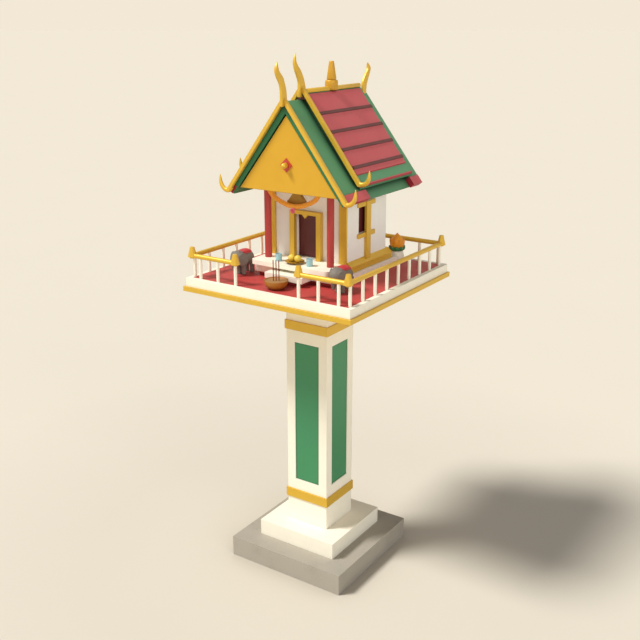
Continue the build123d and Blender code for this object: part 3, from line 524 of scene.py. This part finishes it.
# ---- Gables -----------------------------------------------------------------------------
# Triangular boards in golden yellow paint, smooth and even, held under the roof with an open
# joint 5 mm wide along both slopes. The front one has a diamond in glossy red enamel on it,
# with a round gold boss.
gable_paint = masonry_paint("gable_yellow_paint", "DEAA29", 0.5, metal=0.1, grain=0.08)
low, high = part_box("gable_boards")
thick = 0.020
joint = 0.0081  # measured straight down
maker = bmesh.new()
for front in (low.y, high.y - thick):
    half = high.x * (1 - joint / (high.z - low.z))
    board(maker, ((-half, low.z), (half, low.z), (0.0, high.z - joint)), front, front + thick)
ease(maker, 0.0008)
boards = shown(maker, "gable_panels", gable_paint, smooth=False)
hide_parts("gable_boards")
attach(boards, "house")
gem_red = masonry_paint("red_enamel", "C8402E", 0.3, grain=0.05, coat=0.3)
wear(gem_red, "gable_gem")


def lathe(maker, middle, axis, rows, turns=48):
    """Turns rows of (radius, distance along axis) into a closed round body."""
    side = Vector((1, 0, 0))
    other = axis.cross(side)
    rings = []
    for radius, along in rows:
        rings.append([maker.verts.new(middle + axis * along
                                      + side * radius * math.cos(2 * math.pi * k / turns)
                                      + other * radius * math.sin(2 * math.pi * k / turns))
                      for k in range(turns)])
    tube(maker, rings)


low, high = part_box("gable_gem")
maker = bmesh.new()
lathe(maker, Vector((0.0, low.y, (low.z + high.z) / 2)), Vector((0, -1, 0)), [
    (0.0125, -0.001), (0.0128, 0.004), (0.0126, 0.0130), (0.0118, 0.0190), (0.0096, 0.0240),
    (0.0062, 0.0272), (0.0028, 0.0285), (0.0006, 0.0288)])
boss = shown(maker, "gem_boss", gold_paint)
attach(boss, "house")

# ---- Barge boards -----------------------------------------------------------------------
# Flat boards nailed to the front edges of both roofs, in a brighter gold than the trim and
# with crisp edges. Each ends in a hook of gold enamel, a round bar that runs on outward past
# the eave and turns up to a point.


def rounded(points, steps):
    """A smooth run through the points."""
    ends = [points[0] * 2 - points[1]] + points + [points[-1] * 2 - points[-2]]
    made = []
    for a, b, c, d in zip(ends, ends[1:], ends[2:], ends[3:]):
        for i in range(steps):
            t = i / steps
            made.append(0.5 * ((2 * b) + (c - a) * t + (2 * a - 5 * b + 4 * c - d) * t * t
                               + (3 * b - 3 * c + d - a) * t ** 3))
    return made + [points[-1]]


# painted shade, heavier than on the trim, darkens the boards' corners and undersides
board_gold = masonry_paint("gold_board_paint", "E6B83C", 0.38, metal=0.2, grain=0.05,
                           edge=0.001, shade_depth=0.7)
gables = (  # apex and end of the boards' upper edge, front and back, cut below the end, hook
    (2.335, 0.325, -0.287, -0.269, 0.014, (
        (-0.026, 0.012), (-0.010, -0.0045), (0.009, -0.0048), (0.0250, 0.0055), (0.0345, 0.0190),
        (0.0390, 0.0380), (0.0395, 0.0635))),
    (2.377, 0.312, -0.154, -0.136, 0.009, (
        (-0.026, 0.019), (-0.010, 0.0030), (0.009, 0.0020), (0.0245, 0.0095), (0.0340, 0.0230),
        (0.0388, 0.0420), (0.0395, 0.0645))),
)
fall = 1.325  # of the boards, for each metre out
deep = 0.030  # measured straight down
gap = 0.0004  # half the joint at the mitre
flat, bars = bmesh.new(), bmesh.new()
for apex, eave, front, back, cut, bends in gables:
    foot = apex - fall * eave
    outline = ((gap, apex - fall * gap), (eave, foot), (eave, foot - cut),
               (eave - (deep - cut) / fall, foot - cut), (gap, apex - fall * gap - deep))
    for hand in (-1, 1):
        board(flat, [(hand * x, z) for x, z in outline], front, back)
        line = rounded([Vector((hand * (eave + dx), (front + back) / 2, foot + dz))
                        for dx, dz in bends], 7)
        sizes = []  # an even thickness, which narrows near the point
        for i in range(len(line)):
            thick = 0.0090 * (1 - (i / (len(line) - 1)) ** 5.0) + 0.0014
            sizes.append((min(0.0088, thick), thick))
        skin(bars, line, sizes, Vector((0, 1, 0)), 24)
ease(flat, 0.0018, 3)
for made, name, material, smooth in ((flat, "barge_boards_flat", board_gold, False),
                                     (bars, "barge_hooks", gold_paint, True)):
    boards = shown(made, name, material, smooth)
    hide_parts("barge_boards")
    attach(boards, "house")

# ---- Peak infill ------------------------------------------------------------------------
# A small wedge of cement pressed in behind the mitre of the upper boards, to close the gap
# between the two roofs; it is in the ribs' dark brown, as painted shade in that gap.
maker = bmesh.new()
board(maker, ((-0.022, 2.309), (0.022, 2.309), (0.0, 2.341)), -0.148, -0.1365)
infill = shown(maker, "peak_infill", course_shade_paint, smooth=False)
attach(infill, "house")

# ---- Roof finials -----------------------------------------------------------------------
# Slender horns of cast metal, one on each peak, in an S curve that leans out over the
# gable and thins to a point. They are squarish in section, in the barge boards' gold.
maker = bmesh.new()
corners, squareness = 32, 0.4  # round each section; 1 would be an ellipse and 0 a square
horns = (  # each row: height, then the two edges along the house's length
    ((2.289, -0.301, -0.261), (2.316, -0.301, -0.261), (2.340, -0.3010, -0.262),
     (2.362, -0.302, -0.266), (2.385, -0.3085, -0.2745), (2.406, -0.323, -0.283),
     (2.424, -0.3335, -0.2995), (2.440, -0.337, -0.3145), (2.456, -0.334, -0.3205),
     (2.4740, -0.3235, -0.3205)),
    ((2.320, -0.172, -0.115), (2.340, -0.172, -0.116), (2.362, -0.170, -0.120),
     (2.385, -0.170, -0.128), (2.410, -0.181, -0.1395), (2.434, -0.194, -0.156),
     (2.452, -0.200, -0.174), (2.469, -0.2025, -0.1870), (2.487, -0.199, -0.1895),
     (2.5065, -0.1895, -0.1868)),
    ((2.276, 0.362, 0.396), (2.309, 0.362, 0.396), (2.335, 0.3625, 0.398),
     (2.358, 0.366, 0.4065), (2.385, 0.384, 0.421), (2.407, 0.403, 0.4315),
     (2.422, 0.411, 0.4315), (2.4465, 0.4085, 0.4115)),
)
for rows in horns:
    rings = []
    for z, y0, y1 in rounded([Vector(row) for row in rows], 6):
        half = (y1 - y0) / 2
        thin = min(0.0070, half * 0.9)
        ring = []
        for k in range(corners):
            c, d = math.cos(2 * math.pi * k / corners), math.sin(2 * math.pi * k / corners)
            ring.append(maker.verts.new((
                thin * math.copysign(abs(c) ** squareness, c),
                (y0 + y1) / 2 + half * math.copysign(abs(d) ** squareness, d), z)))
        rings.append(ring)
    tube(maker, rings)
finials = shown(maker, "roof_horns", board_gold)
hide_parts("roof_finials")
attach(finials, "house")

# ---- Ridge bar and spire ----------------------------------------------------------------
# A ridge roll of cement on the upper roof, in the barge boards' gold, with a small spire
# standing on it: a barrel with eased edges, a groove, and a slender blunt cone. The spire's
# gold has weathered, and is a shade browner.
maker = bmesh.new()
low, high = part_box("ridge_bar")
middle = 2.3422  # height of the roll's axis
flat_under = low.z + 0.0002
rings = []
for y, radius in ((low.y, 0.0105), (low.y + 0.0015, 0.012),
                  (high.y - 0.0015, 0.012), (high.y, 0.0105)):
    arc = [math.pi * k / 20 for k in range(-8, 29)]  # its ends meet along the flat underside
    rings.append([maker.verts.new((radius * math.cos(turn), y,
                                   max(flat_under, middle + radius * math.sin(turn))))
                  for turn in arc])
tube(maker, rings)
ridge = shown(maker, "ridge_roll", board_gold)
spire_gold = masonry_paint("weathered_gold_paint", "D4A028", 0.45, metal=0.15, grain=0.05,
                           edge=0.001, shade_depth=0.5)
maker = bmesh.new()
lathe(maker, Vector((0.0, 0.094, 0.0)), Vector((0, 0, 1)), [
    (0.0285, 2.3356), (0.0293, 2.3440), (0.0299, 2.3560), (0.0299, 2.3660), (0.0292, 2.3745),
    (0.0278, 2.3788), (0.0255, 2.3802), (0.0208, 2.3804), (0.0200, 2.3815), (0.0200, 2.3838),
    (0.0220, 2.3846), (0.0224, 2.3862), (0.0168, 2.4240), (0.0116, 2.4595), (0.0108, 2.4625),
    (0.0090, 2.4637), (0.0010, 2.4639)])
spire = shown(maker, "ridge_spire", spire_gold)
for made in (ridge, spire):
    made.data.polygons.foreach_set(
        "use_smooth", [abs(f.normal.z) < 0.97 for f in made.data.polygons])
    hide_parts("ridge_bar")
    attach(made, "house")

# ---- Elephants --------------------------------------------------------------------------
# A pair of small cement elephants that stand either side of the porch and face forward,
# smoothed by hand and painted a matt, slightly blotched grey. Each has a thick saddle pad
# on its back, of the same cement in plain red paint.
skin_grey = masonry_paint("elephant_grey_paint", "7E766B", 0.62, patch=0.06, grain=0.4)
pad_red = masonry_paint("saddle_red_paint", "C4343A", 0.5)


def lump(maker, centre, radii, turn=0.0):
    """An ellipsoid that becomes part of the body, turned about the upright."""
    for vertex in bmesh.ops.create_icosphere(maker, subdivisions=4, radius=1.0)["verts"]:
        px, py, pz = (r * v for r, v in zip(radii, vertex.co))
        vertex.co = Vector(centre) + Vector((px * math.cos(turn) - py * math.sin(turn),
                                             px * math.sin(turn) + py * math.cos(turn), pz))


legs = ((-0.254, 0.0135), (-0.194, 0.0160))  # fore and hind: y, and out from the middle
leg_rows = ((1.5017, 0.0108), (1.504, 0.0113), (1.512, 0.0104), (1.530, 0.0104),
            (1.545, 0.0130), (1.562, 0.0170))  # height and half-width
trunk_and_tail = (  # (y, z) points, half-width at the root, how much thinner the tip is
    (((-0.300, 1.580), (-0.3110, 1.566), (-0.3115, 1.550), (-0.3095, 1.536), (-0.3130, 1.529)),
     0.0105, 0.0048, 20),
    (((-0.184, 1.590), (-0.1815, 1.578), (-0.1810, 1.560), (-0.1818, 1.548)),
     0.0028, 0.0010, 12),
)
steps, pad_y = 24, -0.2335
back_middle, back_radius = 1.5745, 0.0365  # the round of the back that the pad lies on
for word, x in (("left", -0.275), ("right", 0.275)):
    maker = bmesh.new()
    lump(maker, (x, -0.222, 1.5775), (0.036, 0.044, 0.0362))  # belly
    lump(maker, (x, -0.2045, 1.5745), (0.034, 0.0250, 0.0345))  # rump
    lump(maker, (x, -0.2785, 1.5840), (0.0355, 0.0380, 0.0362))  # head
    lump(maker, (x, -0.3020, 1.5700), (0.0170, 0.0150, 0.0200))  # root of the trunk
    for hand in (-1, 1):
        lump(maker, (x + hand * 0.0305, -0.2790, 1.5805), (0.0048, 0.0310, 0.0315),
             -hand * 0.30)  # ear
        for y, out in legs:
            skin(maker, [Vector((x + hand * out, y, z)) for z, w in leg_rows],
                 [(w, w) for z, w in leg_rows], Vector((1, 0, 0)), 24)
    for bends, root, thinning, corners in trunk_and_tail:
        line = rounded([Vector((x, y, z)) for y, z in bends], 5)
        last = len(line) - 1
        skin(maker, line, [(root - thinning * i / last,) * 2 for i in range(last + 1)],
             Vector((1, 0, 0)), corners)
    animal = shown(maker, "elephant_" + word, skin_grey)
    fused = animal.modifiers.new("fused", "REMESH")
    fused.mode = "VOXEL"
    fused.voxel_size = 0.0013
    fused.use_smooth_shade = True
    eased = animal.modifiers.new("eased", "SMOOTH")
    eased.factor = 0.5
    eased.iterations = 5
    bpy.context.view_layer.update()
    whole = bpy.data.meshes.new_from_object(
        animal.evaluated_get(bpy.context.evaluated_depsgraph_get()))
    animal.modifiers.clear()
    animal.data = whole
    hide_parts("elephants")
    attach(animal, "house")

    # the pad: thick, a little wider behind, its sides bent down over the back
    maker = bmesh.new()
    upper, under = [], []
    for i in range(steps + 1):
        upper.append([])
        under.append([])
        for k in range(steps + 1):
            u, v = 2 * i / steps - 1, 2 * k / steps - 1
            px, py = (0.0245 + 0.002 * v) * u, 0.0255 * v
            top = 1.6188 - 0.0062 * u * u - 0.0012 * v * v - 0.0014 * max(abs(u), abs(v)) ** 12
            back = back_middle + math.sqrt(back_radius ** 2 - px * px)
            upper[i].append(maker.verts.new((x + px, pad_y + py, top)))
            under[i].append(maker.verts.new((x + px * 1.02, pad_y + py * 1.02, back)))
    net(maker, upper)
    net(maker, under)
    net(maker, [[row[0] for row in face] + face[-1][1:] + [row[-1] for row in face[-2::-1]]
                + face[0][-2::-1] for face in (upper, under)])  # the sides, all round
    pad = shown(maker, "saddle_pad_" + word, pad_red, smooth=False)
    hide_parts("elephant_saddles")
    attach(pad, "house")

# ---- Incense bowl, ash and sticks -------------------------------------------------------
# A cast brass bowl with swelling sides, dull and browned with handling, filled with sifted
# ash, dry and powdery, that holds three thin bamboo sticks coated in dull red paste.
bowl_brass = masonry_paint("aged_brass", "AE701F", 0.48, metal=0.15, patch=0.08, grain=0.1)
maker = bmesh.new()
lathe(maker, Vector((0.006, -0.360, 0.0)), Vector((0, 0, 1)), [
    (0.0260, 1.5016), (0.0300, 1.5022), (0.0380, 1.5060), (0.0452, 1.5130), (0.0502, 1.5215),
    (0.0530, 1.5300), (0.0537, 1.5385), (0.0543, 1.5408), (0.0540, 1.5418), (0.0522, 1.5412),
    (0.0508, 1.5372), (0.0010, 1.5364)], 64)
bowl = shown(maker, "incense_bowl_round", bowl_brass)
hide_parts("incense_bowl")
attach(bowl, "house")
ash_brown = masonry_paint("sifted_ash", "A87E4C", 0.95, patch=0.1, grain=0.8)
wear(ash_brown, "incense_ash")
stick_red = masonry_paint("incense_paste", "862824", 0.8, patch=0.1, grain=0.6)
wear(stick_red, "incense_sticks")

# ---- Offerings on the porch ------------------------------------------------------------
# A shallow dish of polished brass, which throws soft reflections, with two yellow fruits in
# finely pitted peel, and on each side a cup in smooth pale blue glaze with a sharp glint.
dish_brass = masonry_paint("polished_brass", "D0A030", 0.32, metal=0.55, patch=0.08, grain=0.05)
wear(dish_brass, "offering_dish")
fruit_skin = masonry_paint("orange_peel_yellow", "ECCF4C", 0.38, patch=0.06, grain=0.9)
wear(fruit_skin, "offering_fruits")
cup_glaze = masonry_paint("pale_blue_glaze", "A0CDD2", 0.16, patch=0.03, grain=0.02, coat=0.5)
wear(cup_glaze, "offering_cups")

# ---- Vase flowers ----------------------------------------------------------------------
# One large orange bud in each white jar, its pointed petals folded together, in a ring of
# short broad leaves: both matt and soft, the bud glowing warm and the leaves a deep green.
bud_orange = petal_finish("orange_bud_petals", "FCA81C", "EC9414", 22.0, 0.5)
leaf_green = petal_finish("green_leaves", "3C8446", "2E6E36", 14.0, 0.45)


def folded_petal(maker, centre, turn, rows, half_angle):
    """A petal wrapped round a vertical axis; rows are (radius, height, share of width)."""
    grid = []
    for radius, height, share in rows:
        row = []
        for k in range(9):
            s = (k - 4) / 4
            angle = turn + s * half_angle * share
            inset = radius * (1 - 0.10 * s * s)
            row.append(maker.verts.new(centre + Vector((
                inset * math.cos(angle), inset * math.sin(angle), height))))
        grid.append(row)
    net(maker, grid)


for word, x in (("left", -0.227), ("right", 0.227)):
    root = Vector((x, 0.342, 1.5625))
    maker = bmesh.new()
    for k in range(8):
        folded_petal(maker, root, math.pi * k / 4 + 0.2, [
            (0.0290, 0.010, 1.0), (0.0345, 0.022, 1.0), (0.0372, 0.036, 1.0),
            (0.0386, 0.046, 0.9), (0.0391, 0.0535, 0.6), (0.0388, 0.0590, 0.08)], 0.50)
    for k in range(6):
        folded_petal(maker, root, math.pi * k / 3, [
            (0.0270, 0.012, 1.0), (0.0345, 0.030, 1.0), (0.0358, 0.046, 1.0),
            (0.0322, 0.056, 0.95), (0.0240, 0.0645, 0.90), (0.0135, 0.0745, 0.80),
            (0.0055, 0.0832, 0.60), (0.0010, 0.0880, 0.30)], 0.70)
    bud = shown(maker, "flower_bud_" + word, bud_orange)
    thick = bud.modifiers.new("thick", "SOLIDIFY")
    thick.thickness = 0.0016
    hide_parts("vase_flowers")
    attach(bud, "house")
    maker = bmesh.new()
    for k in range(9):
        folded_petal(maker, root, 2 * math.pi * k / 9 + 0.2, [
            (0.0230, 0.0010, 1.0), (0.0330, 0.0030, 1.0), (0.0392, 0.0080, 1.0),
            (0.0412, 0.0150, 0.88), (0.0412, 0.0210, 0.60), (0.0405, 0.0250, 0.08)], 0.46)
    leaves = shown(maker, "flower_leaves_" + word, leaf_green)
    thick = leaves.modifiers.new("thick", "SOLIDIFY")
    thick.thickness = 0.0018
    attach(leaves, "house")

bpy.context.view_layer.update()
